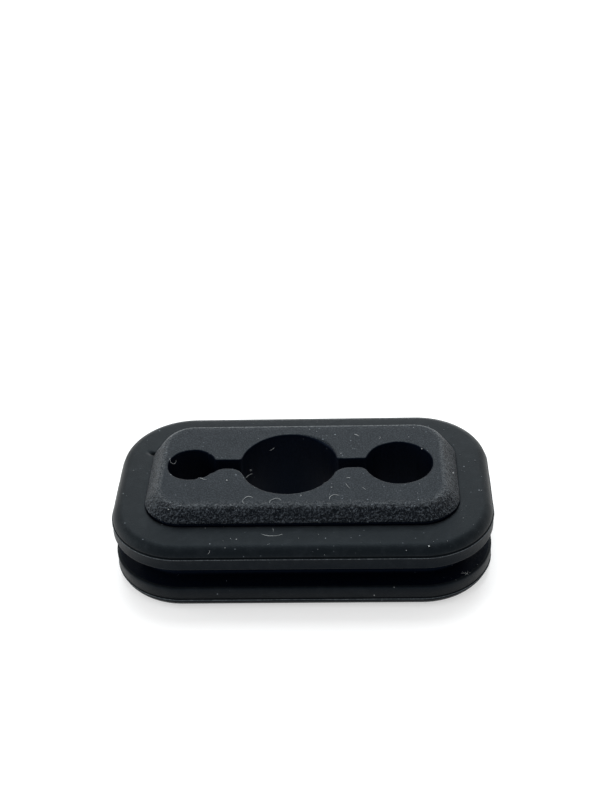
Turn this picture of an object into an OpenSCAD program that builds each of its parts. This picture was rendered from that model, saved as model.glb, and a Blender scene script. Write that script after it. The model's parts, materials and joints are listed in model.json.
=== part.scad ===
// Rubber grommet for a panel cut-out with rounded corners. A groove runs round
// it for the panel's edge, and a raised boss carries a row of three cable holes
// that two slits join. It is one moulded piece, in millimetres, and it lies on
// its flat underside with the middle of that face at the origin.

/* [Panel cut-out] */
// Length of the cut-out, which the neck fills
cutout_l = 34; // [33:0.1:60]
// Width of the cut-out, which the neck fills
cutout_w = 17.9; // [16:0.1:40]
// Corner radius of the cut-out
cutout_r = 5; // [4:0.1:7]
// Width of the groove, for the panel's thickness
groove_w = 2.5; // [1:0.1:5]

/* [Flanges] */
// How far the upper flange reaches past the neck
upper_overlap = 2.45; // [1.8:0.05:6]
// How far the lower flange reaches past the neck
lower_overlap = 2.35; // [1.8:0.05:6]
// Height of the upright band round the upper flange
upper_rim_h = 1.3; // [0.6:0.1:4]
// Height of the upright band round the lower flange
lower_rim_h = 1.6; // [0.6:0.1:4]
// Radius of the rounded edge on top of the upper flange and under the lower one
flange_round = 1.15; // [0.4:0.05:1.6]
// Step between an upright band and its rounded edge, where the mould parts
parting_step = 0.08; // [0.02:0.01:0.15]
// Radius in the root of the groove
root_r = 0.3; // [0.1:0.05:0.45]

/* [Boss] */
// Length of the boss at its foot
boss_l = 32; // [31:0.1:33]
// Width of the boss at its foot
boss_w = 15.4; // [14.5:0.1:16]
// Corner radius of the boss at its foot
boss_r = 4.1; // [2.5:0.1:6]
// Height of the boss above the upper flange
boss_h = 1.8; // [1.2:0.1:6]
// How far each side of the boss leans in by its top
boss_lean = 1.15; // [0.2:0.05:1.3]
// Radius of the boss's upper edge
boss_edge_r = 0.5; // [0.1:0.05:0.8]

/* [Cable holes] */
// Bore of the small hole
small_d = 5; // [3:0.1:5.5]
// Bore of the large hole
large_d = 10; // [8:0.1:10.5]
// Bore of the medium hole
medium_d = 7; // [5:0.1:7.5]
// How far the middle of the row lies along the boss from the boss's own middle
row_x = -0.25; // [-0.5:0.05:0.5]
// How far the row lies across the boss from the boss's own middle
row_y = 0.2; // [-0.4:0.05:0.4]

/* [Slits] */
// Width of both slits
slit_w = 1.5; // [0.6:0.1:2]
// Length of the slit between the small and the large hole, from bore to bore
small_slit_l = 2.6; // [2:0.1:3]
// Length of the slit between the large and the medium hole, from bore to bore
medium_slit_l = 2.85; // [2:0.05:3.2]
// Radius that blends the front of a slit into the small hole
small_blend = 2.2; // [0.5:0.1:2.4]
// Radius that blends the front of a slit into the large hole
large_blend = 1.5; // [0.5:0.1:1.6]
// Radius that blends the front of a slit into the medium hole
medium_blend = 1; // [0.5:0.1:1.6]
// Radius that breaks the corners at the back of both slits
back_blend = 0.25; // [0.1:0.05:0.4]

/* [Hidden] */

$fn = 64;
// How far a cutting shape runs past the face that it cuts
cut_past = 1;
// How far an arc runs into the edge that it blends with, so that the two cross
arc_bite = 0.002;

// Heights of the levels, from the underside up
lower_parting_z = flange_round;
groove_z = lower_parting_z + lower_rim_h;
panel_top_z = groove_z + groove_w;
upper_parting_z = panel_top_z + upper_rim_h;
flange_z = upper_parting_z + flange_round;
boss_z = flange_z + boss_h;

// Centres of the corner arcs: the neck and both flanges share theirs
body_corner = [cutout_l / 2 - cutout_r, cutout_w / 2 - cutout_r];
boss_corner = [boss_l / 2 - boss_r, boss_w / 2 - boss_r];

// Places of the holes along the row, which is centred on row_x
small_r = small_d / 2;
large_r = large_d / 2;
medium_r = medium_d / 2;
row_l = small_d + small_slit_l + large_d + medium_slit_l + medium_d;
small_x = row_x - row_l / 2 + small_r;
large_x = small_x + small_r + small_slit_l + large_r;
medium_x = large_x + large_r + medium_slit_l + medium_r;

// The flat half section of one flange: an upright band that starts at z = 0,
// with a rounded edge above it that is set in by the parting step
module flange_section(reach, rim_h) {
    arc_x = reach - parting_step - flange_round;
    square([reach, rim_h]);
    square([arc_x, rim_h + flange_round]);
    intersection() {
        translate([arc_x, rim_h])
            circle(r = flange_round);
        translate([0, rim_h / 2])
            square([reach, rim_h / 2 + flange_round]);
    }
}

// What a root radius adds in one corner of the groove, at the neck's foot
module root_fillet() {
    difference() {
        square(root_r);
        translate([root_r, root_r])
            circle(r = root_r);
    }
}

// The flat half section of the neck and both flanges, from the corner's centre
// outwards. Sweeping it round the cut-out makes the body.
module body_section() {
    square([cutout_r, flange_z]);
    translate([0, panel_top_z])
        flange_section(cutout_r + upper_overlap, upper_rim_h);
    translate([0, groove_z])
        mirror([0, 1])
            flange_section(cutout_r + lower_overlap, lower_rim_h);
    translate([cutout_r, groove_z])
        root_fillet();
    translate([cutout_r, panel_top_z])
        mirror([0, 1])
            root_fillet();
}

// The flat half section of the boss: a leaning side and a rounded upper edge,
// whose arc takes over from the side at side_end and from the top above its centre
module boss_section() {
    side_normal = [boss_h, boss_lean] / norm([boss_h, boss_lean]);
    arc_z = boss_h - boss_edge_r;
    arc_x = boss_r - (boss_edge_r + side_normal.y * arc_z) / side_normal.x;
    arc_centre = [arc_x, arc_z];
    side_end = arc_centre + (boss_edge_r - arc_bite) * side_normal;
    polygon([[0, 0], [boss_r, 0], side_end, arc_centre, [arc_x, boss_h], [0, boss_h]]);
    intersection() {
        translate(arc_centre)
            circle(r = boss_edge_r);
        square([boss_r, boss_h + boss_edge_r]);
    }
}

// Sweeps a half section round a rounded rectangle whose corner arcs are centred
// at the four places [+-corner.x, +-corner.y], and fills the middle
module sweep_round(corner, height) {
    for (turn = [0 : 3]) {
        sx = turn == 0 || turn == 3 ? 1 : -1;
        sy = turn < 2 ? 1 : -1;
        run = turn % 2 == 0 ? corner.y : corner.x;
        translate([sx * corner.x, sy * corner.y])
            rotate(90 * turn) {
                rotate_extrude(angle = 90)
                    children();
                rotate([90, 0, 0])
                    linear_extrude(2 * run)
                        children();
            }
    }
    translate([-corner.x, -corner.y])
        cube([2 * corner.x, 2 * corner.y, height]);
}

// What a blend adds to the row: the corner between a slit's edge and a bore.
// The slit leaves the bore towards +x (along = 1) or -x, and the blend is on
// its +y side (across = 1) or its -y side.
module blend(bore_x, bore_r, blend_r, along, across) {
    rise = slit_w / 2 + blend_r;
    reach = sqrt(pow(bore_r + blend_r, 2) - pow(rise, 2));
    centre = [bore_x + along * reach, across * rise];
    difference() {
        polygon([[bore_x, 0], centre, [centre.x, 0]]);
        translate(centre)
            circle(r = blend_r + arc_bite);
    }
}

// Both blends where a slit meets one bore
module blends(bore_x, bore_r, front_r, along) {
    blend(bore_x, bore_r, front_r, along, -1);
    blend(bore_x, bore_r, back_blend, along, 1);
}

// The outline of the three holes and the slits that join them
module hole_row() {
    translate([small_x, 0])
        circle(r = small_r);
    translate([large_x, 0])
        circle(r = large_r);
    translate([medium_x, 0])
        circle(r = medium_r);
    translate([small_x, -slit_w / 2])
        square([medium_x - small_x, slit_w]);
    blends(small_x, small_r, small_blend, 1);
    blends(large_x, large_r, large_blend, -1);
    blends(large_x, large_r, large_blend, 1);
    blends(medium_x, medium_r, medium_blend, -1);
}

module grommet() {
    color("#2b2e2f")
        difference() {
            union() {
                sweep_round(body_corner, flange_z)
                    body_section();
                translate([0, 0, flange_z])
                    sweep_round(boss_corner, boss_h)
                        boss_section();
            }
            translate([0, row_y, -cut_past])
                linear_extrude(boss_z + 2 * cut_past)
                    hole_row();
        }
}

grommet();
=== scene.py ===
# %% [markdown]
# # A rubber grommet for the studio
# A grommet is a moulded rubber bush. Its groove snaps over the edge of a hole in
# a sheet-metal panel, and cables pass through its own holes without chafing.
# This lesson loads the exact CAD model of one as a frame, lays a dense skin over
# it that has the marks of moulding, gives it a rubber finish, scatters a little
# lint on it, and sets up a plain studio.

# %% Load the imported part
import json
import math

import bmesh
import bpy
import numpy as np
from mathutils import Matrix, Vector, geometry, noise
from mathutils.bvhtree import BVHTree

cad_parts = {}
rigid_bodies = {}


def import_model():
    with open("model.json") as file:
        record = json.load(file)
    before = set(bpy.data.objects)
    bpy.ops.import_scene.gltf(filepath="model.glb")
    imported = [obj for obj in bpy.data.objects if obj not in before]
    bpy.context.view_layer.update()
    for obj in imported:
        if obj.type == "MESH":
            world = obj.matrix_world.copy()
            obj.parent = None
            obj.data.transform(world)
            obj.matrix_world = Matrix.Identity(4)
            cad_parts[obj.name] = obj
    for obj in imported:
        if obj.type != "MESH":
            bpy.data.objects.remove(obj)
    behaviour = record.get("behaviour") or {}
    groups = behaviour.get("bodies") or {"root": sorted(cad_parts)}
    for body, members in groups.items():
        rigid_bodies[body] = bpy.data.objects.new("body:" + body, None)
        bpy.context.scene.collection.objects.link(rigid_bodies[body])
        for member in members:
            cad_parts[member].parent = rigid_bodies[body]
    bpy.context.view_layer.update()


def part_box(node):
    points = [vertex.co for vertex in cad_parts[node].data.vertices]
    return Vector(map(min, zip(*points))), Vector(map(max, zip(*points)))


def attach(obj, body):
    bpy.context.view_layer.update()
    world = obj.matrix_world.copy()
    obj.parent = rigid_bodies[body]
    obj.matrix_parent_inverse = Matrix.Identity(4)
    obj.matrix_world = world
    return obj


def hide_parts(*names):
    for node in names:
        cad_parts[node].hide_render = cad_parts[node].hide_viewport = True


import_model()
cad_low, cad_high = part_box("grommet")
print("CAD box in mm:", [round(v * 1000, 2) for v in (cad_high - cad_low)])

# %% [markdown]
# ## Units, colours and objects
# Blender works in metres here, but a moulder thinks in millimetres, so every
# size of the part below is in millimetres and turned to metres when a mesh is
# made. Colours are written as the sRGB hex values that a paint program shows.
# Blender's shaders want linear light, so one function converts them. Another one
# puts a mesh, a lamp or a camera into the scene as an object.

# %% Helpers for units, colours and objects
MM = 0.001


def linear(hex_colour):
    """Turns an sRGB hex colour such as "2b2e2f" into linear RGBA."""
    parts = [int(hex_colour[i:i + 2], 16) / 255 for i in (0, 2, 4)]
    return [p / 12.92 if p <= 0.04045 else ((p + 0.055) / 1.055) ** 2.4 for p in parts] + [1.0]


def new_object(name, data):
    """An object in the scene that shows some data, such as a mesh or a lamp."""
    made = bpy.data.objects.new(name, data)
    bpy.context.scene.collection.objects.link(made)
    return made


print("mid grey in linear light:", round(linear("808080")[0], 3))

# %% [markdown]
# ## The camera
# The picture was taken from a hand's width away, a little right of the middle,
# looking down at about 35 degrees. From so close the near edge looks clearly
# larger than the far one, so the distance matters as much as the angle. The
# place and the angles were solved from the part's own edges. The lens is given
# for Blender's 36 mm sensor, which spans the picture's longer side.

# %% Place the camera
CAMERA_PLACE = (6.505, -111.384, 95.487)
CAMERA_TURN = (55.0514, 2.1939, 1.7593)
LENS_MM = 61.389

camera_data = bpy.data.cameras.new("studio_camera")
camera_data.sensor_width = 36
camera_data.lens = LENS_MM
camera_data.clip_start = 1 * MM
camera_data.clip_end = 20
camera = new_object("studio_camera", camera_data)
camera.location = [v * MM for v in CAMERA_PLACE]
camera.rotation_euler = [math.radians(v) for v in CAMERA_TURN]
bpy.context.scene.camera = camera
print("camera is", round(math.dist(CAMERA_PLACE, (0, 0, 9.5))), "mm from the boss")

# %% [markdown]
# ## The skin, ring by ring
# Every level of the body is the same rounded rectangle at another size, so the
# skin is a stack of rings. A ring is set by its half length, half width, corner
# radius and height. Each of its columns keeps its place along the outline from
# ring to ring, so neighbouring rings join into clean four-sided faces. That is
# much better for fine relief than a mesh that comes straight from CAD, whose
# long thin triangles can't bend.

# %% Columns that every ring shares
ARC_STEPS = 78
LONG_STEPS = 212
SHORT_STEPS = 60


def make_columns():
    """For each column: which corner it leans on (-1 to 1 along x and y), and the way it faces."""
    lean, angle = [], []
    corners = [(1, 1), (-1, 1), (-1, -1), (1, -1)]
    for turn, corner in enumerate(corners):
        after = corners[(turn + 1) % 4]
        for step in range(ARC_STEPS):
            lean.append(corner)
            angle.append((turn + step / ARC_STEPS) * math.pi / 2)
        steps = LONG_STEPS if turn % 2 == 0 else SHORT_STEPS
        for step in range(steps):
            t = step / steps
            lean.append([corner[k] * (1 - t) + after[k] * t for k in (0, 1)])
            angle.append((turn + 1) * math.pi / 2)
    return np.array(lean), np.stack([np.cos(angle), np.sin(angle)], 1)


LEAN, FACING = make_columns()
print("columns round the body:", len(LEAN))


def ring(half_l, half_w, corner_r, z):
    """The points of one ring, in millimetres. Each size is one value, or one for every column."""
    half_l, half_w, corner_r, z = (np.broadcast_to(v, len(LEAN)) for v in (half_l, half_w, corner_r, z))
    straight = np.column_stack([half_l - corner_r, half_w - corner_r])
    return np.column_stack([LEAN * straight + FACING * corner_r[:, None], z])


# %% [markdown]
# ## The profile of the body
# The neck and both flanges share the centres of their corner arcs, so a point of
# the profile needs only its reach from there and its height. Rubber comes out of
# the mould with softened lips, so each sharp edge of the CAD profile gets a
# small radius here. Where the two halves of the mould met, a thread of rubber
# was squeezed out. That flash stands about 0.05 mm proud beside a fine crevice,
# and it is never even, so its reach is varied by slow noise further on.
#
# A ring close to each rounded edge holds the wall or the flat beside it straight,
# so that smooth shading bends only over the round.

# %% Sizes of the body, in millimetres
CORNER_X, CORNER_Y = 12.0, 3.95
NECK = 5.0
UPPER_REACH = 7.45
LOWER_REACH = 7.35
PARTING_STEP = 0.08
FLANGE_ROUND = 1.15
LOWER_PARTING = 1.15
GROOVE_FLOOR = 2.75
GROOVE_ROOF = 5.25
UPPER_PARTING = 6.55
FLANGE_TOP = 7.7
BOSS_TOP = 9.5
ROOT_R = 0.3
LIP_R = 0.14
HOLD_WALL = 0.1
HOLD_FLAT = 0.15
FLASH_H = 0.16
FLASH_FOOT_IN = 0.05
FLASH_EDGE_IN = 0.03
CREVICE = 0.12
CREVICE_SHARE_BELOW = 0.6
LOWER_SEAM_RISE = 0.17
UPPER_SEAM_RISE = 0.15
LOWER_BAND_EASE = (0.02, 0.09)
UPPER_BAND_EASE = 0.04
LOWER_SEAM = (LOWER_REACH - CREVICE, LOWER_PARTING + LOWER_SEAM_RISE)
UPPER_SEAM = (UPPER_REACH - PARTING_STEP - CREVICE, UPPER_PARTING + UPPER_SEAM_RISE)


def arc(centre, radius, start, end, steps, ends=True):
    """Points on an arc of the profile, from one angle to the other, in degrees."""
    first, last = (0, steps) if ends else (1, steps - 1)
    angles = [math.radians(start + (end - start) * k / steps) for k in range(first, last + 1)]
    return [(centre[0] + radius * math.cos(a), centre[1] + radius * math.sin(a)) for a in angles]


def flash(reach, parting):
    """The thread of rubber at a mould line, before noise makes it uneven."""
    foot = reach - FLASH_FOOT_IN
    return [(foot, parting - FLASH_H / 4), (reach - FLASH_EDGE_IN, parting), (foot, parting + FLASH_H / 4)]


def body_profile():
    """(reach, height) from the underside's flat up and out to the upper flange's flat."""
    low_arc = (LOWER_REACH - PARTING_STEP - FLANGE_ROUND, LOWER_PARTING)
    up_arc = (UPPER_REACH - PARTING_STEP - FLANGE_ROUND, UPPER_PARTING)
    points = [(low_arc[0] - HOLD_FLAT, 0.0)]
    points += arc(low_arc, FLANGE_ROUND, -90, -9, 5)
    points += [(LOWER_REACH - PARTING_STEP - CREVICE * CREVICE_SHARE_BELOW, LOWER_PARTING - FLASH_H / 2)]
    points += flash(LOWER_REACH, LOWER_PARTING) + [LOWER_SEAM]
    points += [(LOWER_REACH - LOWER_BAND_EASE[0], LOWER_SEAM[1] + LOWER_BAND_EASE[1])]
    points += [(LOWER_REACH, GROOVE_FLOOR - LIP_R - HOLD_WALL)]
    points += arc((LOWER_REACH - LIP_R, GROOVE_FLOOR - LIP_R), LIP_R, 0, 90, 3)
    points += [(LOWER_REACH - LIP_R - HOLD_FLAT, GROOVE_FLOOR), (NECK + ROOT_R + HOLD_WALL, GROOVE_FLOOR)]
    points += arc((NECK + ROOT_R, GROOVE_FLOOR + ROOT_R), ROOT_R, 270, 180, 2)
    points += arc((NECK + ROOT_R, GROOVE_ROOF - ROOT_R), ROOT_R, 180, 90, 2)
    points += [(NECK + ROOT_R + HOLD_WALL, GROOVE_ROOF), (UPPER_REACH - LIP_R - HOLD_FLAT, GROOVE_ROOF)]
    points += arc((UPPER_REACH - LIP_R, GROOVE_ROOF + LIP_R), LIP_R, -90, 0, 3)
    points += [(UPPER_REACH, GROOVE_ROOF + LIP_R + HOLD_WALL)]
    points += [(UPPER_REACH - UPPER_BAND_EASE, UPPER_PARTING - FLASH_H / 2)]
    points += flash(UPPER_REACH, UPPER_PARTING) + [UPPER_SEAM]
    points += arc(up_arc, FLANGE_ROUND, 12, 90, 10)
    return points


BODY_PROFILE = body_profile()
rings = [ring(CORNER_X + r, CORNER_Y + r, r, z) for r, z in BODY_PROFILE]
print("rings on the body:", len(rings))

# %% [markdown]
# ## The boss
# The boss has its own corner centres, and its ends lean in more than its long
# sides, so each of its rings has its own half length, half width and corner
# radius. Its foot is undercut: along the front the boss stands over a crevice
# that looks black from above, and the crevice closes towards the ends and the
# back, except at one nick near the far left corner. Then come the leaning side,
# the rounded upper edge, and a grained margin of the top, which is wide along the
# front and the back.
#
# The radius of the edge and the wear come in three numbers, for the front, the
# ends and the back, and blend into each other round the corners. The wear paints
# the skin pale, partly as scuffs and partly as a painted highlight: the ends all
# the way up, the front and the back along the upper edge only, the back most
# strongly.
#
# Foot and top are a half length, a half width and a corner radius. A ring of the
# crevice is moved outwards and raised. A ring of the margin lies inside the edge
# by one distance at the ends and by another along the sides.

# %% Rings of the boss
FOOT = (16.04, 7.675, 4.16)
TOP = (14.72, 6.715, 3.06)
FLAT_RINGS = 4
FLAT_MARGIN = 0.3
FLAT_SPACING = 0.8
FLAT_END = (CORNER_X + BODY_PROFILE[-1][0], CORNER_Y + BODY_PROFILE[-1][0], BODY_PROFILE[-1][0])
EDGE_R = (0.36, 0.55, 0.14)
EDGE_STEPS = 7
EDGE_GRAIN = 0.9
EDGE_GRAIN_FALL = 0.35
# The edge numbers below paint the boss's edges pale, partly as scuffs and partly as a painted highlight,
# most of all along the back.
EDGE_WEAR_AND_HIGHLIGHT = (0.28, 0.50, 1.7)
END_WEAR_AND_HIGHLIGHT = 0.34
SLOPE_RINGS = 25
FOOT_GRAIN = 0.3
GRAIN_RISE = 0.15
WORN_AND_LIT_SHARE = 0.08
CREVICE_RINGS = ((0.05, 0.0), (-0.05, -0.05), (-0.15, -0.20), (-0.46, -0.14), (-0.44, 0.26), (-0.10, 0.33))
OVERHANG = 0.33
FRONT_FROM = 0.55
FRONT_SPAN = 1.3
FRONT_LEAST = 0.04
FRONT_POWER = 1.5
NICK_PLACE = (-16.1, 4.5)
NICK_R = 0.26
NICK_DEEP = 1.6
NICK_SHARE_BEFORE = 0.35
NICK_FROM = -0.1
MARGIN = ((0.08, 0.12), (0.16, 0.28), (0.24, 0.46), (0.26, 0.66), (0.28, 0.90))
MARGIN_GRAIN = 0.6
MARGIN_WEAR_AND_HIGHLIGHT = 0.15


def between(a, b, t):
    """The outline a share t of the way from outline a to outline b."""
    return [p + (q - p) * t for p, q in zip(a, b)]


def grown(outline, by):
    """An outline moved outwards by a distance."""
    return [v + by for v in outline]


boss_h = BOSS_TOP - FLANGE_TOP
slope_lean = (FOOT[0] - TOP[0] + FOOT[1] - TOP[1]) / 2
slope_turn = math.atan2(boss_h, slope_lean)
slope_len = math.hypot(boss_h, slope_lean)
front = np.clip((FRONT_FROM - FACING[:, 1]) / FRONT_SPAN, FRONT_LEAST, 1) ** FRONT_POWER
to_back = np.clip(FACING[:, 1], 0, 1) ** 2
to_front = np.clip(-FACING[:, 1], 0, 1) ** 2
by_side = np.stack([to_front, 1 - to_front - to_back, to_back])
edge_r = np.array(EDGE_R) @ by_side
edge_back = edge_r * math.tan(slope_turn / 2)
foot_places = ring(*FOOT, FLANGE_TOP)[:, :2]
nick_share = np.exp(-(np.linalg.norm(foot_places - NICK_PLACE, axis=1) / NICK_R) ** 4)

boss_grid, boss_grain, boss_wear_and_highlight = [], [], []


def add_ring(points, grain=0.0, wear_and_highlight=(0.0, 0.0, 0.0)):
    """Puts one more ring on the boss, with its share of grain and its wear and painted highlight at the
    front, ends and back.
    """
    boss_grid.append(points)
    boss_grain.append(grain)
    boss_wear_and_highlight.append(wear_and_highlight)


for k in range(1, FLAT_RINGS + 1):
    flat = ring(*between(FLAT_END, grown(FOOT, FLAT_MARGIN), (k / FLAT_RINGS) ** FLAT_SPACING), FLANGE_TOP)
    flat[:, 2] -= NICK_SHARE_BEFORE * NICK_DEEP * nick_share * (k == FLAT_RINGS)
    add_ring(flat)
for away, rise in CREVICE_RINGS:
    shut, deep = ring(*FOOT, FLANGE_TOP), ring(*grown(FOOT, away), FLANGE_TOP + rise)
    opened = shut + (deep - shut) * front[:, None]
    opened[:, 2] -= NICK_DEEP * nick_share * (away > NICK_FROM)
    add_ring(opened)
for k in range(1, SLOPE_RINGS + 1):
    share = k / SLOPE_RINGS
    t = share * (1 - edge_back / slope_len)
    leaning = ring(*between(FOOT, TOP, t), FLANGE_TOP + boss_h * t)
    leaning[:, 2] += OVERHANG * front * (1 - t)
    near_edge = max(0, 1 - (1 - share) / WORN_AND_LIT_SHARE)
    add_ring(leaning, min(1, FOOT_GRAIN + share / GRAIN_RISE),
             (EDGE_WEAR_AND_HIGHLIGHT[0] * near_edge, END_WEAR_AND_HIGHLIGHT * share ** 0.5, EDGE_WEAR_AND_HIGHLIGHT[2] * near_edge))
for k in range(1, EDGE_STEPS + 1):
    a = slope_turn * (1 - k / EDGE_STEPS)
    inward = edge_back - edge_r * math.sin(a)
    add_ring(ring(*grown(TOP, -inward), BOSS_TOP - edge_r * (1 - math.cos(a))),
             EDGE_GRAIN - EDGE_GRAIN_FALL * k / EDGE_STEPS,
             (EDGE_WEAR_AND_HIGHLIGHT[0], END_WEAR_AND_HIGHLIGHT + (EDGE_WEAR_AND_HIGHLIGHT[1] - END_WEAR_AND_HIGHLIGHT) * k / EDGE_STEPS, EDGE_WEAR_AND_HIGHLIGHT[2]))
half_l, half_w, corner_r = grown(TOP, -edge_back)
for end_in, side_in in MARGIN:
    fade = 1 - side_in / MARGIN[-1][1]
    add_ring(ring(half_l - end_in, half_w - side_in, corner_r - end_in, BOSS_TOP), MARGIN_GRAIN * fade,
             (EDGE_WEAR_AND_HIGHLIGHT[0] * fade ** 2, EDGE_WEAR_AND_HIGHLIGHT[1] * fade ** 2, MARGIN_WEAR_AND_HIGHLIGHT * fade))
first_boss = len(rings)
rings += boss_grid
print("rings on the boss:", len(boss_grid))

# %% [markdown]
# ## Grain and flash
# The sides of the boss were spark-eroded in the mould, which leaves pebbles of
# 0.2 to 0.4 mm. Bump in a material can fake such grain only where nothing shows
# it in profile. Here the pebbles catch the light one by one, so they are real
# relief: each point moves along its normal by a mix of cell noise, for rounded
# pebbles, and soft noise, for uneven height. The front has the freshest grain,
# the ends and the back are worn smoother, and the level margin gets little.
# How high each point came out is kept, since the finish paints the crests paler,
# partly as dust and partly as a painted highlight, and the valleys darker as
# painted shade. So are the share of grain, since the finish has finer crinkles
# of its own, and the wear, which paints the rounded edge of the boss and the back
# rim of the upper flange pale: partly scuffs, partly a painted highlight where
# those edges catch the light at a low angle.

# %% Push the rings out by grain and flash
PEBBLE_MM = 0.24
PEBBLE_H = 0.23
PEBBLE_TOP = 0.45
PEBBLE_FALL = 0.85
FINE_MM = 0.18
FINE_H = 0.10
SIDE_SHARE = 0.14
# Between these heights the back of the upper flange's rim is painted pale: a painted highlight where it
# catches the light at a low angle.
RIM_HEIGHTS = (7.30, 7.67)
RIM_PAINTED_HIGHLIGHT = 0.7
FLASH_REACH = 0.055
FLASH_FOOT_SHARE = 0.4
FLASH_WAVE_MM = 2.2
FLASH_TEAR_MM = 0.7
SEED_SHIFT = (7.3, 1.9, 4.1)
CLOSE = 1e-6

grid = np.array(rings)
grain_share = np.zeros(len(grid))
grain_share[first_boss:] = boss_grain


def grid_normals(points):
    """Outward normals of a closed stack of rings."""
    along = np.roll(points, -1, 1) - np.roll(points, 1, 1)
    up = np.gradient(points, axis=0)
    normal = np.cross(along, up)
    return normal / np.maximum(np.linalg.norm(normal, axis=2, keepdims=True), 1e-9)


def grain_height(p):
    """Height of the grain at a point, in millimetres, around zero."""
    near = noise.voronoi(Vector(p) / PEBBLE_MM)[0][0]
    return PEBBLE_H * (PEBBLE_TOP - PEBBLE_FALL * near) + FINE_H * noise.noise(Vector(p) / FINE_MM)


normals = grid_normals(grid)
crest = np.full(grid.shape[:2], 0.5)
facing_share = SIDE_SHARE + (1 - SIDE_SHARE) * front
grain = grain_share[:, None] * np.sqrt(facing_share)
wear_and_highlight = np.zeros(grid.shape[:2])
wear_and_highlight[first_boss:] = np.array(boss_wear_and_highlight) @ by_side
# Painted highlight: the back of the upper flange's rim gets a pale mix.
for k, (_, z) in enumerate(BODY_PROFILE):
    if RIM_HEIGHTS[0] < z < RIM_HEIGHTS[1]:
        wear_and_highlight[k] = RIM_PAINTED_HIGHLIGHT * to_back
for k in np.nonzero(grain_share)[0]:
    height = np.array([grain_height(p) for p in grid[k]]) * grain_share[k] * facing_share
    grid[k] += normals[k] * height[:, None]
    crest[k] += height / PEBBLE_H


def slow_noise(points, wave, seed):
    """Soft noise along a ring, 0 to 1."""
    offset = Vector([seed * shift for shift in SEED_SHIFT])
    return np.array([0.5 + 0.5 * noise.noise(Vector(p) / wave + offset) for p in points])


for parting, seed in ((LOWER_PARTING, 1), (UPPER_PARTING, 2)):
    for k, (_, z) in enumerate(BODY_PROFILE):
        if abs(z - parting) < FLASH_H / 2 - CLOSE:
            share = 1.0 if abs(z - parting) < CLOSE else FLASH_FOOT_SHARE
            torn = 0.5 + slow_noise(grid[k], FLASH_TEAR_MM, seed + 5)
            uneven = slow_noise(grid[k], FLASH_WAVE_MM, seed) * torn
            out = FLASH_REACH * share * (0.5 + uneven)
            grid[k, :, :2] += FACING * out[:, None]
seam_rings = [BODY_PROFILE.index(seam) for seam in (LOWER_SEAM, UPPER_SEAM)]
grid[seam_rings[1], :, :2] += FACING * (CREVICE * (1 - front))[:, None]
print("grain rings:", int((grain_share > 0).sum()), "flash stands out by up to",
      round(float(grid[:, :, 0].max()) - CORNER_X - UPPER_REACH, 3), "mm")

# %% [markdown]
# ## The row of holes
# Two narrow slits join the three holes, so the grommet can be pushed over a
# cable from the side. The outline is a chain of arcs: each hole, and the blends
# that ease each slit into it. The blends at the front are wide, and those at
# the back only break the corner. Straight lines join the ends of the arcs.

# %% Outline of the hole row
SLIT_W = 1.5
ROW_Y = 0.2
HOLES = {"small": (-11.455, 2.505), "large": (-1.365, 5.0), "medium": (9.98, 3.49)}
BACK_BLEND = 0.25
SMALL_BLEND = 2.2
LARGE_LEFT_BLEND = 1.5
LARGE_RIGHT_BLEND = 1.6
MEDIUM_BLEND = 1.0
OUTLINE_STEP = 0.11
ARC_STEP = 0.02


def blend_arc(hole, along, across, radius):
    """The arc that eases a slit into a hole: centre, radius and the angles at the hole and at the slit."""
    x, r = HOLES[hole]
    rise = SLIT_W / 2 + radius
    run = math.sqrt((r + radius) ** 2 - rise ** 2)
    touch = math.degrees(math.atan2(across * rise, along * run))
    return (x + along * run, ROW_Y + across * rise), radius, touch


def hole_chain():
    """The arcs of the outline in order, anticlockwise round the opening: centre, radius, start and end."""
    chain = []

    def slit_side(hole_a, blend_a, hole_b, blend_b, across):
        """Ease out of hole a towards hole b: two blends with the slit's straight side between them."""
        way = 1 if HOLES[hole_b][0] > HOLES[hole_a][0] else -1
        for hole, blend, along, leaving in ((hole_a, blend_a, way, True), (hole_b, blend_b, -way, False)):
            centre, radius, touch = blend_arc(hole, along, across, blend)
            at_hole = touch + 180
            at_slit = -90 * across
            swing = (at_slit - at_hole + 180) % 360 - 180
            ends = (at_hole, at_hole + swing) if leaving else (at_hole + swing, at_hole)
            chain.append((centre, radius, *ends))

    def rim_between(hole, start, end):
        """The part of a hole's rim between two blends, each given as along, across and radius."""
        first, last = (blend_arc(hole, *blend)[2] % 360 for blend in (start, end))
        first -= 360 * (first > last)
        chain.append(((HOLES[hole][0], ROW_Y), HOLES[hole][1], first, last))

    rim_between("small", (1, 1, BACK_BLEND), (1, -1, SMALL_BLEND))
    slit_side("small", SMALL_BLEND, "large", LARGE_LEFT_BLEND, -1)
    rim_between("large", (-1, -1, LARGE_LEFT_BLEND), (1, -1, LARGE_RIGHT_BLEND))
    slit_side("large", LARGE_RIGHT_BLEND, "medium", MEDIUM_BLEND, -1)
    rim_between("medium", (-1, -1, MEDIUM_BLEND), (-1, 1, BACK_BLEND))
    slit_side("medium", BACK_BLEND, "large", BACK_BLEND, 1)
    rim_between("large", (1, 1, BACK_BLEND), (-1, 1, BACK_BLEND))
    slit_side("large", BACK_BLEND, "small", BACK_BLEND, 1)
    return chain


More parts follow.
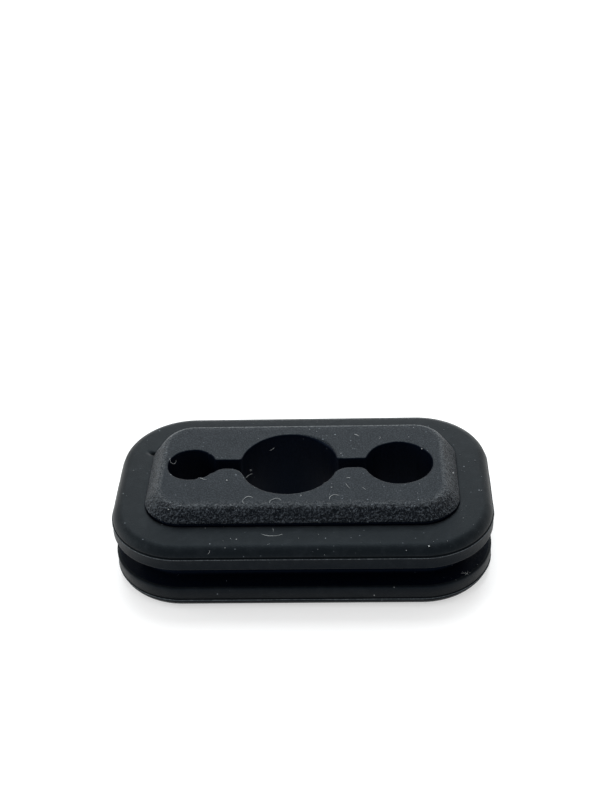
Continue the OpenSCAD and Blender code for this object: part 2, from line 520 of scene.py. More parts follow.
def chain_points(chain):
    """Evenly spaced points round the chain, and the way out of the opening at each one."""
    raw = []
    for centre, radius, start, end in chain:
        steps = max(4, int(abs(math.radians(end - start)) * radius / ARC_STEP))
        for k in range(steps + 1):
            a = math.radians(start + (end - start) * k / steps)
            raw.append((centre[0] + radius * math.cos(a), centre[1] + radius * math.sin(a)))
    raw = np.array(raw)
    closed = np.vstack([raw, raw[:1]])
    length = np.concatenate([[0], np.cumsum(np.linalg.norm(np.diff(closed, axis=0), axis=1))])
    count = int(length[-1] / OUTLINE_STEP)
    at = np.arange(count) * length[-1] / count
    points = np.column_stack([np.interp(at, length, closed[:, i]) for i in (0, 1)])
    along = np.roll(points, -1, 0) - np.roll(points, 1, 0)
    along /= np.linalg.norm(along, axis=1, keepdims=True)
    return points, np.column_stack([along[:, 1], -along[:, 0]])


hole_outline, hole_away = chain_points(hole_chain())
print("points round the row of holes:", len(hole_outline))

# %% [markdown]
# A moulded rim is never a perfect circle: pins in the mould wear, and rubber
# tears a little as it is pulled off them. The outline is nudged by soft noise
# and by a few torn or worn spots, and each wall gets a small radius at the top
# and at the bottom. Over the large hole's far right quarter that radius widens.
# A spot is a hole, an angle and a width in degrees, and how far it moves the rim
# into the rubber, or how much it adds to the radius.

# %% Rims and walls of the holes
RIM_R = 0.10
RIM_FLAT = 0.04
WOBBLE_MM = 0.035
WOBBLE_WAVE_MM = 1.3
CHIP_MM = 0.012
CHIP_WAVE_MM = 0.3
NEAR_RIM = 0.5
SPOTS = (("small", 294, 5, -0.16), ("small", 47, 4, -0.10), ("small", 309, 9, 0.07), ("small", 332, 9, 0.13),
         ("large", 318, 3, -0.08), ("medium", 45, 22, -0.08), ("large", 205, 4, -0.05))
WORN_RIM = ("large", 46, 24, 0.30)


def near_spot(hole, angle, width):
    """How close each point of the outline is to an angle of a hole's rim: 1 there, fading to 0."""
    x, r = HOLES[hole]
    away = hole_outline - [x, ROW_Y]
    turn = (np.degrees(np.arctan2(away[:, 1], away[:, 0])) - angle + 180) % 360 - 180
    on_rim = np.abs(np.linalg.norm(away, axis=1) - r) < NEAR_RIM
    return np.exp(-(turn / width) ** 2) * on_rim


wobble = np.array([noise.noise(Vector((p[0], p[1], 3.0)) / WOBBLE_WAVE_MM) for p in hole_outline])
chips = np.array([noise.noise(Vector((p[0], p[1], 9.0)) / CHIP_WAVE_MM) for p in hole_outline])
shift = WOBBLE_MM * wobble + CHIP_MM * chips + sum(by * near_spot(h, a, w) for h, a, w, by in SPOTS)
rim_r = RIM_R + WORN_RIM[3] * near_spot(*WORN_RIM[:3])
hole_outline += hole_away * shift[:, None]


def wall_ring(away, z):
    """One ring of the holes' wall, moved into the rubber by one distance, or by one for each point."""
    out = np.broadcast_to(away, rim_r.shape)[:, None]
    return np.column_stack([hole_outline + hole_away * out, np.broadcast_to(z, rim_r.shape)])


RIM_ANGLES = [math.radians(a) for a in (90, 112, 135, 157, 180)]
WALL_HEIGHTS = (9.0, 7.2, 4.5, 1.5)
wall_rings = [wall_ring(rim_r + RIM_FLAT, BOSS_TOP)]
for a in RIM_ANGLES:
    wall_rings.append(wall_ring(rim_r * (1 + math.cos(a)), BOSS_TOP - rim_r * (1 - math.sin(a))))
for z in WALL_HEIGHTS:
    wall_rings.append(wall_ring(0, z))
for a in reversed(RIM_ANGLES):
    wall_rings.append(wall_ring(RIM_R * (1 + math.cos(a)), RIM_R * (1 - math.sin(a))))
wall_rings.append(wall_ring(RIM_R + RIM_FLAT, 0.0))
wall = np.array(wall_rings)
print("rings down the holes:", len(wall))

# %% [markdown]
# ## One mesh for the moulding
# The grommet is a single moulding, so its skin is a single closed mesh: the
# stack of body rings, the wall of the holes, and two flat faces that join them
# at the top and at the underside. Those two have openings in them. A constrained
# Delaunay triangulation fills such a face with well-shaped triangles: it keeps
# both outlines as edges and uses a loose grid of points between them.

# %% Join the rings into a mesh
FACE_GRID = 0.6
FACE_HALF = (19, 11)
FACE_CLEAR = 0.6
MERGE_MM = 1e-7


def ring_faces(first, n_rings, n_cols):
    """Four-sided faces between neighbouring rings of a stack whose points start at index first."""
    k, c = np.meshgrid(np.arange(n_rings - 1), np.arange(n_cols), indexing="ij")
    d = (c + 1) % n_cols
    quad = np.stack([k * n_cols + c, k * n_cols + d, (k + 1) * n_cols + d, (k + 1) * n_cols + c], -1)
    return (quad.reshape(-1, 4) + first).tolist()


def inside(loop, points):
    """Which points lie inside a closed loop, by counting the edges that a ray to the right crosses."""
    x, y = points[:, :1], points[:, 1:2]
    x0, y0 = loop[:, 0], loop[:, 1]
    x1, y1 = np.roll(x0, -1), np.roll(y0, -1)
    rise = np.where(y1 == y0, 1e-12, y1 - y0)
    crosses = ((y0 > y) != (y1 > y)) & (x < x0 + (y - y0) * (x1 - x0) / rise)
    return crosses.sum(1) % 2 == 1


def flat_face(outer, inner):
    """Fills the level face between two outlines: the points in its middle, and triangles that count
    the outer points first, then the inner ones, then those in the middle. They face up."""
    x, y = (v.ravel() for v in np.meshgrid(*(np.arange(-half, half, FACE_GRID) for half in FACE_HALF)))
    middle = np.column_stack([x + (y / FACE_GRID % 2) * FACE_GRID / 2, y])
    middle = middle[inside(outer, middle) & ~inside(inner, middle)]
    near = np.vstack([outer, inner])
    gap = np.array([np.min(np.sum((near - m) ** 2, axis=1)) for m in middle]) ** 0.5
    middle = middle[gap > FACE_GRID * FACE_CLEAR]
    points = np.vstack([outer, inner, middle])
    loops = [list(range(len(outer))), list(range(len(outer), len(near)))]
    edges = [(loop[i], loop[(i + 1) % len(loop)]) for loop in loops for i in range(len(loop))]
    found = geometry.delaunay_2d_cdt([Vector(p) for p in points], edges, [], 0, MERGE_MM)
    new_to_old = [ids[0] for ids in found[3]]
    triangles = np.array([[new_to_old[v] for v in f] for f in found[2]])
    centres = points[triangles].mean(1)
    return middle, triangles[inside(outer, centres) & ~inside(inner, centres)]


n_rings, n_cols = grid.shape[:2]
n_wall = wall.shape[1]
wall_first = n_rings * n_cols
faces = ring_faces(0, n_rings, n_cols)
faces += ring_faces(wall_first, len(wall), n_wall)
vertices = [grid.reshape(-1, 3), wall.reshape(-1, 3)]
top_start = (n_rings - 1) * n_cols
low_wall = wall_first + (len(wall) - 1) * n_wall
count = wall_first + wall.shape[0] * n_wall
flat_counts = []
for outer, outer_at, inner, inner_at, z in ((grid[-1], top_start, wall[0], wall_first, BOSS_TOP),
                                            (grid[0], 0, wall[-1], low_wall, 0.0)):
    middle, triangles = flat_face(outer[:, :2], inner[:, :2])
    index = np.concatenate([np.arange(n_cols) + outer_at, np.arange(n_wall) + inner_at,
                            np.arange(len(middle)) + count])
    vertices.append(np.column_stack([middle, np.full(len(middle), z)]))
    count += len(middle)
    turned = triangles if z > 0 else triangles[:, ::-1]
    faces += index[turned].tolist()
    flat_counts.append(len(triangles))
vertices = np.vstack(vertices) * MM

skin_mesh = bpy.data.meshes.new("grommet_skin")
skin_mesh.from_pydata(vertices.tolist(), [], faces)
skin_mesh.shade_smooth()
for name, values, elsewhere in (("crest", crest, 0.5), ("grain", grain, 0.0), ("wear_and_highlight", wear_and_highlight, 0.0)):
    values = np.concatenate([values.ravel(), np.full(len(vertices) - values.size, elsewhere)])
    skin_mesh.attributes.new(name, "FLOAT", "POINT").data.foreach_set("value", values)
skin = new_object("grommet_skin", skin_mesh)
triangles = sum(len(p.vertices) - 2 for p in skin_mesh.polygons)
print("triangles in the skin:", triangles)

# %% [markdown]
# ## Which face has which finish
# The rubber has six finishes. The flanges came from a blasted face of the mould,
# and their upright walls carry less dust, since dust falls on what looks up, and
# are painted a little darker as shade. The boss came from a spark-eroded face.
# The holes were left by polished pins and the groove by a polished insert; their
# finish, which also lines the crevice under the boss, is painted darker as shade.
# The flash tore off, and it is painted pale, partly as torn rubber and partly as
# a painted highlight. The crevice beside it is painted nearly black as shade.
# Faces are numbered in the order in which they were made, so each ring of faces
# gets its finish by number.

# %% Number the finishes
BLASTED, SPARK_ERODED, POLISHED_SHADED, TORN_AND_LIT, SEAM_SHADE, CLEAN_SHADED_WALL = range(6)
GROOVE_IN = 0.6
TORN_AND_LIT_SHARE = 0.3
LEVEL_CLOSE = 0.01


def body_finish(k):
    """The finish of the faces between body rings k and k + 1."""
    (reach, z), (reach_up, z_up) = BODY_PROFILE[k:k + 2]
    level, deep = (z + z_up) / 2, (reach + reach_up) / 2 < UPPER_REACH - GROOVE_IN
    # The groove gets the polished finish, painted darker as shade.
    if GROOVE_FLOOR - LEVEL_CLOSE < level < GROOVE_ROOF + LEVEL_CLOSE and deep:
        return POLISHED_SHADED
    # Faces beside the flash get a nearly black finish: painted shade in the crevice.
    if k in seam_rings or k + 1 in seam_rings:
        return SEAM_SHADE
    # Upright walls of the flanges: less dust, and painted a little darker as shade.
    if LOWER_SEAM[1] < level < GROOVE_FLOOR or GROOVE_ROOF < level < UPPER_PARTING - FLASH_H / 2:
        return CLEAN_SHADED_WALL
    # Next to the flash: pale, partly torn rubber and partly a painted highlight.
    near_flash = min(abs(level - LOWER_PARTING), abs(level - UPPER_PARTING))
    return TORN_AND_LIT if near_flash < FLASH_H * TORN_AND_LIT_SHARE else BLASTED


ring_finish = [body_finish(k) for k in range(first_boss - 1)]
ring_finish += [BLASTED] * (FLAT_RINGS + 1)
# The crevice under the boss gets the polished finish, whose dark shades paint shade into it.
ring_finish += [POLISHED_SHADED] * (len(CREVICE_RINGS) - 2)
ring_finish += [SPARK_ERODED] * (n_rings - 1 - len(ring_finish))
wall_finish = [SPARK_ERODED] * 3 + [POLISHED_SHADED] * (len(wall) - 4)
finish = np.repeat(ring_finish, n_cols).tolist() + np.repeat(wall_finish, n_wall).tolist()
finish += [SPARK_ERODED] * flat_counts[0] + [BLASTED] * flat_counts[1]
skin_mesh.polygons.foreach_set("material_index", finish)
print("faces of each finish:", np.bincount(finish).tolist())

# %% Hang the skin on the frame
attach(skin, "root")
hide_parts("grommet")

# %% [markdown]
# ## Nodes
# A material is a graph of nodes. One small function adds a node, sets its
# options and input values, and links inputs that come from other nodes. Some
# nodes carry hidden sockets that share a name, so only those in use count. The
# nodes that every recipe needs, for noise, sums, ranges and mixed colours, have a
# short function each.

# %% Helpers for nodes


def add_node(tree, kind, inputs=None, **settings):
    """Adds a node. Settings are its options. Inputs maps a socket's name, or its place among the
    sockets in use, to a value or to an output socket. Gives the node's first output in use."""
    node = tree.nodes.new(kind)
    for name, value in settings.items():
        setattr(node, name, value)
    in_use = [s for s in node.inputs if s.enabled]
    for key, value in (inputs or {}).items():
        socket = in_use[key] if isinstance(key, int) else next(s for s in in_use if s.name == key)
        if isinstance(value, bpy.types.NodeSocket):
            tree.links.new(value, socket)
        else:
            socket.default_value = value
    return next((s for s in node.outputs if s.enabled), node)


def new_material(name):
    """An empty material, its node tree, and the place on the object, which its patterns keep to."""
    material = bpy.data.materials.new(name)
    material.use_nodes = True
    tree = material.node_tree
    tree.nodes.clear()
    return material, tree, tree.nodes.new("ShaderNodeTexCoord").outputs["Object"]


def soft_noise(tree, place, size_mm, detail=2.0):
    """Noise with features of about a size in millimetres."""
    return add_node(tree, "ShaderNodeTexNoise", {
        "Vector": place, "Scale": 1 / (size_mm * MM), "Detail": detail})


def maths(tree, operation, *values):
    """The result of one operation on numbers or sockets."""
    return add_node(tree, "ShaderNodeMath", dict(enumerate(values)), operation=operation)


def mapped(tree, value, start, end, low=0.0, high=1.0):
    """Runs from low to high while a value runs from start to end, and stays level beyond."""
    return add_node(tree, "ShaderNodeMapRange", {
        "Value": value, "From Min": start, "From Max": end, "To Min": low, "To Max": high})


def blended(tree, share, first, second):
    """A colour that is a share of the way from one to another. Each is a hex value or a socket."""
    a, b = (linear(colour) if isinstance(colour, str) else colour for colour in (first, second))
    return add_node(tree, "ShaderNodeMix", {"Factor": share, "A": a, "B": b}, data_type="RGBA")


# %% [markdown]
# ## Moulded rubber
# The grommet is a black synthetic rubber such as EPDM. Carbon black swallows
# nearly all the light that enters it, so its own colour is almost nothing, and
# what the eye sees is a broad, faint sheen on a matt skin. All the finishes are
# that rubber. They differ in how rough they are, how deep their dents are, and
# how much pale dust sits in them, so one recipe makes them all.
#
# Sand is soft noise, the print of a blasted mould. Crinkles are noise folded
# about its middle, which turns its zero lines into thin ridges, as spark erosion
# leaves them. Real ones are 0.05 to 0.1 mm wide, which is less than a pixel of
# the picture, so both are drawn about twice as wide. Ridges and crests are
# painted paler, partly as dust and partly as a painted highlight, and valleys
# darker as painted shade. Uneven mixing shows as clouds of a millimetre or two.
#
# Dust is drawn in three ways. A cell pattern has one speck at the middle of each
# cell, and shows it only where the cell's random number is high. Smears are noise
# that is cut off low. A film of the finest dust is a sheen that lightens the skin
# where it is seen at a low angle.

# %% The recipe for a rubber finish
CLOUD_MM = 1.8
SAND_MM = 0.14
CRINKLE_MM = 0.23
CRINKLE_DEPTH_MM = 0.045
SMEAR_MM = 0.9
DUST_CELL_MM = 0.42
DUST_R = 0.19
SPECK_CORE = 0.3
RIDGE_WIDTH = 0.10
RIDGE_MEAN = 0.4
RELIEF_RANGE = (0.94, 1.75)
SMEAR_RANGE = (0.48, 0.75)
SCUFF_AND_HIGHLIGHT_LEAST = 0.2
DUST_COLOUR = "868e95"
SCUFF_AND_HIGHLIGHT_COLOUR = "595c5e"
FILM_COLOUR = "fffcf4"


def rubber_finish(name, shades, gloss, shine, tint, sand_depth_mm, dust_share, smear, film):
    """A rubber material: its darkest and palest shade, its least and most roughness, how strongly it
    mirrors and in which tint, the depth of its sand, the share of cells with dust, and how much its
    smears and its film of dust show."""
    material, tree, place = new_material(name)
    cloud, sand, folds, smears = (
        soft_noise(tree, place, size, detail)
        for size, detail in ((CLOUD_MM, 2.0), (SAND_MM, 1.0), (CRINKLE_MM, 1.5), (SMEAR_MM, 4.0)))
    crest, grain, wear_and_highlight = (add_node(tree, "ShaderNodeAttribute", attribute_name=kept).node.outputs["Fac"]
                          for kept in ("crest", "grain", "wear_and_highlight"))

    folded = maths(tree, "ABSOLUTE", maths(tree, "SUBTRACT", folds, 0.5))
    ridges = mapped(tree, folded, 0.0, RIDGE_WIDTH, 1.0, 0.0)
    crinkles = maths(tree, "MULTIPLY", ridges, grain)
    height = maths(tree, "MULTIPLY", sand, sand_depth_mm)
    height = maths(tree, "MULTIPLY_ADD", crinkles, CRINKLE_DEPTH_MM, height)
    bump = add_node(tree, "ShaderNodeBump", {"Height": height, "Strength": 1.0, "Distance": MM})

    # Painted light and shade: crests, ridges and high sand are painted paler and valleys darker, on top of
    # the bump.
    relief = maths(tree, "ADD", sand, crest)
    relief = maths(tree, "ADD", maths(tree, "MULTIPLY_ADD", grain, -RIDGE_MEAN, crinkles), relief)
    shade = blended(tree, mapped(tree, relief, *RELIEF_RANGE), *shades)
    # Painted highlight, partly real scuffs: the wear mixes a pale colour into the edges.
    scuffs_and_highlight = mapped(tree, ridges, 0.0, 1.0, SCUFF_AND_HIGHLIGHT_LEAST)
    shade = blended(tree, maths(tree, "MULTIPLY", scuffs_and_highlight, wear_and_highlight), shade, SCUFF_AND_HIGHLIGHT_COLOUR)

    cells = add_node(tree, "ShaderNodeTexVoronoi", {"Vector": place, "Scale": 1 / (DUST_CELL_MM * MM)}).node
    number = add_node(tree, "ShaderNodeSeparateColor", {"Color": cells.outputs["Color"]})
    bright = maths(tree, "POWER", mapped(tree, number, 1 - dust_share, 1.0), 2.0)
    close = mapped(tree, cells.outputs["Distance"], DUST_R, DUST_R * SPECK_CORE)
    specks = maths(tree, "MULTIPLY", bright, close)
    smeared = mapped(tree, smears, *SMEAR_RANGE, 0.0, smear)
    colour = blended(tree, maths(tree, "ADD", specks, smeared), shade, DUST_COLOUR)
    rough = mapped(tree, cloud, 0.0, 1.0, *gloss)
    shader = add_node(tree, "ShaderNodeBsdfPrincipled", {
        "Base Color": colour, "Roughness": rough, "IOR": 1.5, "Specular IOR Level": shine,
        "Specular Tint": linear(tint), "Sheen Weight": film, "Sheen Roughness": 0.4,
        "Sheen Tint": linear(FILM_COLOUR), "Normal": bump})
    add_node(tree, "ShaderNodeOutputMaterial", {"Surface": shader})
    skin_mesh.materials.append(material)


# %% The finishes, in the order of their numbers
rubber_finish("blasted_rubber", shades=("03060a", "101418"),
              gloss=(0.49, 0.56), shine=0.105, tint="dcf2ff", sand_depth_mm=0.018,
              dust_share=0.12, smear=0.015, film=0.08)
rubber_finish("spark_eroded_rubber", shades=("02040a", "42474d"),
              gloss=(0.42, 0.56), shine=0.108, tint="daf1ff", sand_depth_mm=0.022,
              dust_share=0.30, smear=0.02, film=0.05)
# Dark navy shades paint shade into the holes, the groove and the crevice under the boss; the finish itself
# is smooth and clean.
rubber_finish("polished_pin_rubber_painted_shade", shades=("01030a", "030a18"),
              gloss=(0.45, 0.55), shine=0.085, tint="9cc4ff", sand_depth_mm=0.010,
              dust_share=0.02, smear=0.0, film=0.0)
# Pale shades: partly torn rubber, partly a painted highlight along the flash, where it catches the light.
rubber_finish("torn_flash_rubber_painted_highlight", shades=("383c40", "7b8083"),
              gloss=(0.60, 0.75), shine=0.13, tint="daf1ff", sand_depth_mm=0.020,
              dust_share=0.45, smear=0.15, film=0.05)
# Nearly black shades: painted shade in the crevice beside the flash.
rubber_finish("seam_rubber_painted_shade", shades=("020406", "06090c"),
              gloss=(0.50, 0.60), shine=0.05, tint="dcf2ff", sand_depth_mm=0.010,
              dust_share=0.03, smear=0.0, film=0.0)
# Less dust than the blasted finish, and a darker palest shade that paints shade on the upright walls.
rubber_finish("clean_blasted_rubber_painted_shade", shades=("03060a", "0d1115"),
              gloss=(0.49, 0.56), shine=0.08, tint="d4eaff", sand_depth_mm=0.018,
              dust_share=0.06, smear=0.01, film=0.04)
print("finishes:", [m.name for m in skin_mesh.materials])

# %% [markdown]
# ## Lint
# Rubber is a little tacky and holds a charge, so it picks up lint wherever it
# lies. A cotton fibre is about 0.02 mm thick, which is too fine to show, so each
# one is drawn up to three times as thick. A fibre is given by a few places in
# millimetres. A smooth curve runs through them, and every point of the curve is
# laid on the nearest point of the skin, so the fibre clings to a rim or a wall
# from whichever side it is seen.

# %% Places of the fibres, each with its half thickness
LINT = (
    (0.029, ((-13.80, 1.31, 9.50), (-13.90, 1.07, 9.34), (-13.73, 1.25, 8.90), (-13.55, 1.57, 8.57),
             (-13.38, 1.81, 8.60), (-13.34, 1.85, 8.85))),
    (0.025, ((-3.70, 4.61, 7.89), (-3.44, 4.75, 7.86), (-3.26, 4.82, 7.97), (-3.14, 4.87, 8.05))),
    (0.032, ((-6.13, 1.72, 6.46), (-5.92, 2.30, 6.33), (-5.73, 2.64, 6.22), (-5.53, 2.95, 6.03))),
    (0.022, ((-4.76, -5.43, 9.5), (-5.00, -5.23, 9.5), (-5.31, -5.21, 9.5), (-5.64, -5.51, 9.5),
             (-5.79, -5.92, 9.5), (-5.56, -6.32, 9.5))),
    (0.022, ((-3.08, -6.26, 9.5), (-2.97, -5.86, 9.5), (-2.52, -5.53, 9.5), (-2.13, -5.60, 9.5),
             (-1.92, -5.85, 9.5))),
    (0.022, ((2.90, -5.77, 9.5), (2.96, -5.35, 9.5), (3.35, -5.04, 9.5), (3.87, -5.16, 9.5))),
    (0.016, ((4.52, -3.17, 9.5), (4.69, -3.64, 9.5), (4.92, -4.03, 9.5))),
    (0.032, ((5.40, 5.08, 9.5), (5.65, 4.95, 9.5), (5.89, 4.72, 9.5))),
    (0.029, ((4.59, -2.37, 9.5), (4.77, -2.31, 9.5), (4.95, -2.40, 9.5))),
    (0.013, ((8.10, 4.65, 9.5), (8.11, 4.40, 9.5), (8.03, 4.19, 9.5))),
    (0.022, ((-3.83, -8.83, 7.7), (-3.36, -9.07, 7.7), (-2.76, -9.16, 7.7), (-2.17, -9.08, 7.7),
             (-1.75, -8.89, 7.7))),
    (0.014, ((-2.73, -8.01, 7.7), (-2.67, -8.26, 7.7), (-2.68, -8.50, 7.7))),
    (0.014, ((-8.95, -11.15, 7.18), (-8.82, -11.01, 7.33), (-8.78, -10.90, 7.43))),
    (0.029, ((-10.35, -2.14, 9.5), (-10.16, -2.22, 9.5), (-9.90, -2.36, 9.5), (-9.70, -2.36, 9.5))),
    (0.013, ((6.22, -3.86, 9.5), (6.36, -4.08, 9.5), (6.54, -4.28, 9.5))),
    (0.013, ((15.90, -9.36, 2.75), (16.22, -9.30, 2.75), (16.60, -9.42, 2.75))),
    (0.012, ((16.28, -9.62, 2.75), (16.50, -9.35, 2.75), (16.62, -9.00, 2.75))),
)
SPAN_STEPS = 5
FIBRE_SIDES = 6
FIBRE_LIFT = 0.8
FIBRE_END = 0.35

skin_tree = BVHTree.FromPolygons([v.co / MM for v in skin_mesh.vertices],
                                 [p.vertices[:] for p in skin_mesh.polygons])


def on_skin(place, lift):
    """The point nearest to a place that stands off the skin by a distance, and the way out there."""
    found, normal, _, _ = skin_tree.find_nearest(Vector(place))
    return found + normal * lift, normal


def smooth_curve(places):
    """Points on a smooth curve through a few places (a Catmull-Rom spline)."""
    p = np.array([places[0], *places, places[-1]], float)
    points = []
    for a, b, c, d in zip(p, p[1:], p[2:], p[3:]):
        for t in np.arange(SPAN_STEPS) / SPAN_STEPS:
            points.append(0.5 * (2 * b + (c - a) * t + (2 * a - 5 * b + 4 * c - d) * t ** 2
                                 + (3 * b - a - 3 * c + d) * t ** 3))
    return points + [p[-1]]


def fibre(half_thick, places):
    """Vertices and faces of one fibre, thin at both ends, that lies along the skin."""
    laid = [on_skin(q, half_thick * FIBRE_LIFT) for q in smooth_curve(places)]
    points, faces = [], []
    last = len(laid) - 1
    for k, (point, normal) in enumerate(laid):
        along = (laid[min(k + 1, last)][0] - laid[max(k - 1, 0)][0]).normalized()
        side = along.cross(normal).normalized()
        swell = math.sin(math.pi * (k + 0.5) / (last + 1)) ** 0.5
        r = half_thick * (FIBRE_END + (1 - FIBRE_END) * swell)
        for turn in range(FIBRE_SIDES):
            a = 2 * math.pi * turn / FIBRE_SIDES
            points.append(point + r * (math.cos(a) * side + math.sin(a) * side.cross(along)))
    for k in range(last):
        for turn in range(FIBRE_SIDES):
            near, far = k * FIBRE_SIDES, (k + 1) * FIBRE_SIDES
            after = (turn + 1) % FIBRE_SIDES
            faces.append((near + turn, near + after, far + after, far + turn))
    faces.append(tuple(reversed(range(FIBRE_SIDES))))
    faces.append(tuple(range(last * FIBRE_SIDES, (last + 1) * FIBRE_SIDES)))
    return points, faces


def join_shapes(name, shapes):
    """One object from many small shapes, each given as vertices in millimetres and faces."""
    points, faces = [], []
    for shape_points, shape_faces in shapes:
        faces += [[v + len(points) for v in f] for f in shape_faces]
        points += [Vector(q) * MM for q in shape_points]
    mesh = bpy.data.meshes.new(name)
    mesh.from_pydata(points, [], faces)
    mesh.shade_smooth()
    return new_object(name, mesh)


lint = join_shapes("lint_fibres", [fibre(*entry) for entry in LINT])
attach(lint, "root")
print("fibres:", len(LINT), "with", len(lint.data.polygons), "faces")

# %% [markdown]
# ## Dust
# Besides the finest dust, which is part of the finish, there are crumbs big
# enough to see one by one. The largest lie at named places. The rest are
# scattered by a seeded random draw over the faces that look up, since dust
# falls. A crumb is a dented twenty-sided ball, sunk a third of the way in.

# %% Places of the crumbs, each with its half width
CRUMBS = (
    (0.061, (3.09, -3.25, 9.5)), (0.061, (3.09, -3.88, 9.5)), (0.049, (5.28, -3.92, 9.5)),
    (0.09, (-7.58, -2.53, 9.5)), (0.066, (-6.19, 4.45, 9.5)), (0.041, (-18.05, -2.64, 7.7)),
    (0.107, (15.49, -0.48, 8.5)), (0.09, (-6.24, -9.63, 7.7)), (0.053, (-0.13, -9.53, 7.7)),
    (0.09, (12.58, -10.7, 7.55)), (0.057, (1.78, -10.9, 7.44)), (0.049, (10.38, -11.02, 7.32)),
    (0.066, (7.23, -11.3, 1.72)), (0.057, (4.86, -7.55, 8.14)), (0.049, (16.17, -6.68, 7.7)),
    (0.041, (17.08, -7.73, 7.7)), (0.066, (9.19, -11.25, 2.71)), (0.16, (-5.69, 2.71, 6.70)),
    (0.098, (12.44, 2.55, 9.4)), (0.09, (-13.11, -6.57, 9.14)), (0.041, (-4.68, -3.77, 9.5)),
    (0.057, (-5.04, -4.69, 9.5)), (0.049, (-4.77, 4.51, 9.5)), (0.049, (-10.84, -3.73, 9.5)),
    (0.041, (-5.37, 3.16, 5.44)), (0.049, (0.62, 6.05, 9.5)), (0.049, (1.37, 5.69, 9.5)),
    (0.041, (5.24, 2.64, 9.5)), (0.049, (3.99, 1.77, 9.5)), (0.041, (11.13, 4.52, 9.5)),
    (0.057, (11.7, 6.12, 9.5)), (0.041, (11.67, -4.94, 9.5)), (0.049, (11.94, -3.47, 9.5)),
    (0.049, (0.04, -5.09, 9.5)), (0.066, (18.01, 2.65, 7.7)), (0.049, (18.3, -2.36, 7.7)),
    (0.049, (16.56, -4.82, 7.7)), (0.041, (14.41, -10.06, 7.64)), (0.041, (13.04, -10.21, 7.7)),
    (0.041, (-6.84, -9.47, 7.7)), (0.030, (17.63, -8.06, 2.75)), (0.044, (16.37, -9.27, 2.75)),
    (0.034, (16.60, -9.50, 2.75)), (0.028, (16.08, -9.12, 2.75)), (0.034, (16.78, -9.28, 2.75)),
    (0.024, (14.90, -10.07, 2.75)), (0.022, (14.19, -9.99, 2.75)), (0.027, (15.34, -10.31, 2.75)),
    (0.027, (17.23, -8.67, 2.75)), (0.049, (-7.3, -10.71, 7.56)), (0.049, (-3.1, -10.39, 7.68)),
    (0.041, (1.82, -8.99, 7.7)), (0.049, (-17.91, 1.61, 7.7)),
)
SCATTERED = 90
SCATTER_R = (0.014, 0.031)
CRUMB_LIFT = 0.3
LEAST_LOOK_UP = 0.08
DUST_SEED = 11

draw = np.random.default_rng(DUST_SEED)
ball = bmesh.new()
bmesh.ops.create_icosphere(ball, subdivisions=1, radius=1.0)
BALL_POINTS = np.array([v.co for v in ball.verts])
BALL_FACES = [[v.index for v in f.verts] for f in ball.faces]
ball.free()


def crumb(half_wide, place):
    """Vertices and faces of one crumb of dust that sits on the skin."""
    centre, _ = on_skin(place, half_wide * CRUMB_LIFT)
    stretch = draw.uniform(0.6, 1.3, 3)
    dents = draw.uniform(0.75, 1.1, (len(BALL_POINTS), 1))
    return np.array(centre) + BALL_POINTS * dents * stretch * half_wide, BALL_FACES


def scattered_places(count):
    """Middles of random faces of the skin, more often where a face is large and looks up."""
    area = np.array([p.area * max(0.0, p.normal.z + LEAST_LOOK_UP) for p in skin_mesh.polygons])
    chosen = draw.choice(len(area), count, p=area / area.sum())
    return [skin_mesh.polygons[k].center / MM for k in chosen]


small, large = SCATTER_R
crumbs = [crumb(*entry) for entry in CRUMBS]
crumbs += [crumb(small + (large - small) * draw.random() ** 2, place)
           for place in scattered_places(SCATTERED)]
dust = join_shapes("dust_crumbs", crumbs)
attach(dust, "root")
print("crumbs:", len(crumbs), "with", len(dust.data.polygons), "faces")

# %% [markdown]
# ## Cotton and card
# Cotton lint is so matt that it looks the same from all sides, with a soft sheen
# at its edges. Since it is drawn thicker than it is, it is drawn darker too, so
# that it is as faint as the real one. The crumbs come off white card, and are
# darker where rubber has rubbed off on them.

# %% Finishes of the lint and the dust
SOIL_RANGE = (0.4, 0.65)

for piece, name, pale, dull, wave_mm in ((lint, "cotton_lint", "a2a6a7", "74797a", 0.5),
                                         (dust, "card_dust", "a9adae", "54595c", 0.4)):
    material, tree, place = new_material(name)
    soil = mapped(tree, soft_noise(tree, place, wave_mm), *SOIL_RANGE)
    shade = blended(tree, soil, pale, dull)
    shader = add_node(tree, "ShaderNodeBsdfPrincipled", {
        "Base Color": shade, "Roughness": 0.95, "Specular IOR Level": 0.2, "Sheen Weight": 0.2})
    add_node(tree, "ShaderNodeOutputMaterial", {"Surface": shader})
    piece.data.materials.append(material)

# %% [markdown]
# ## Floor
# A small part is photographed on a sheet of white card. Uncoated card is matt
# and its fibres scatter light evenly, so the shader needs almost no gloss. The
# card lies on a light table, whose glow through it keeps the shadows pale.

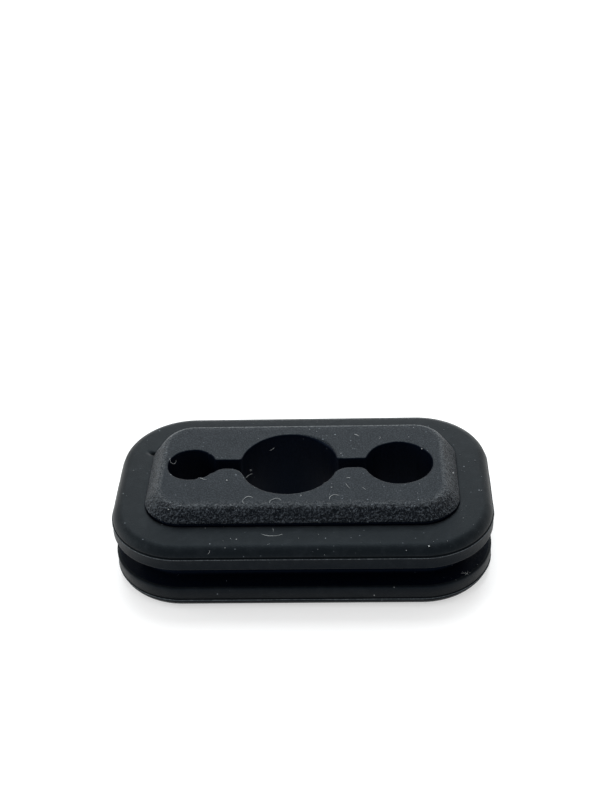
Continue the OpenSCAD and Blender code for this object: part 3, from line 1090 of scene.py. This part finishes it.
# %% White card floor
FLOOR_HALF = 1.5
FIBRE_MM = 0.8
TABLE_GLOW = 0.45
floor_mesh = bpy.data.meshes.new("studio_floor")
corners = [(-1, -1), (1, -1), (1, 1), (-1, 1)]
floor_mesh.from_pydata([(x * FLOOR_HALF, y * FLOOR_HALF, 0.0) for x, y in corners], [], [(0, 1, 2, 3)])
floor = new_object("studio_floor", floor_mesh)
card, tree, place = new_material("uncoated_white_card")
shade = blended(tree, soft_noise(tree, place, FIBRE_MM), "cccccc", "d0d0d0")
shader = add_node(tree, "ShaderNodeBsdfPrincipled", {
    "Base Color": shade, "Roughness": 0.9, "Specular IOR Level": 0.1,
    "Emission Color": linear("ffffff"), "Emission Strength": TABLE_GLOW})
add_node(tree, "ShaderNodeOutputMaterial", {"Surface": shader})
floor_mesh.materials.append(card)
print("floor side:", FLOOR_HALF * 2, "m")

# %% [markdown]
# ## Light
# Black rubber is seen by what it mirrors. Its level faces mirror what stands
# behind it, and its steep sides mirror the floor, so the softboxes stand behind
# and at the left of the part, and none in front. Low strips behind it draw the
# pale lines along its far edges, which lean away. A white world fills the rest.
# It is a little greyer than the card, so from low down the far edge of the card
# shows as a faint line. Each softbox has an azimuth and an elevation in degrees,
# its watts, and its height in metres.

# %% Softboxes round the table
SOFTBOX_FAR = 0.6
SOFTBOX_WIDE = 0.4
AIM = Vector((0, 0, 6 * MM))
LAMP_COLOUR = "f8fdff"
WORLD_STRENGTH = 0.8
SOFTBOXES = {
    "back_high": (90, 60, 3.1, 0.4),
    "back_right": (45, 25, 0.15, 0.4),
    "left": (180, 15, 1.45, 0.4),
    "back_strip": (90, 6, 0.8, 0.12),
    "back_left_strip": (135, 6, 0.15, 0.12),
    "back_right_strip": (45, 6, 0.1, 0.12),
}
for name, (azimuth, elevation, watts, tall) in SOFTBOXES.items():
    turn, rise = math.radians(azimuth), math.radians(elevation)
    way = Vector((math.cos(turn) * math.cos(rise), math.sin(turn) * math.cos(rise), math.sin(rise)))
    lamp_data = bpy.data.lights.new("softbox_" + name, "AREA")
    lamp_data.shape = "RECTANGLE"
    lamp_data.size = SOFTBOX_WIDE
    lamp_data.size_y = tall
    lamp_data.energy = watts
    lamp_data.color = linear(LAMP_COLOUR)[:3]
    lamp = new_object("softbox_" + name, lamp_data)
    lamp.location = AIM + way * SOFTBOX_FAR
    lamp.rotation_euler = (-way).to_track_quat("-Z", "Y").to_euler()
print("softboxes:", len(SOFTBOXES), "with", round(sum(box[2] for box in SOFTBOXES.values()), 1), "W in all")

# %% World and film
world = bpy.data.worlds.new("studio_air")
world.use_nodes = True
background = world.node_tree.nodes["Background"]
background.inputs["Color"].default_value = linear("ffffff")
background.inputs["Strength"].default_value = WORLD_STRENGTH
bpy.context.scene.world = world
bpy.context.scene.view_settings.view_transform = "Standard"
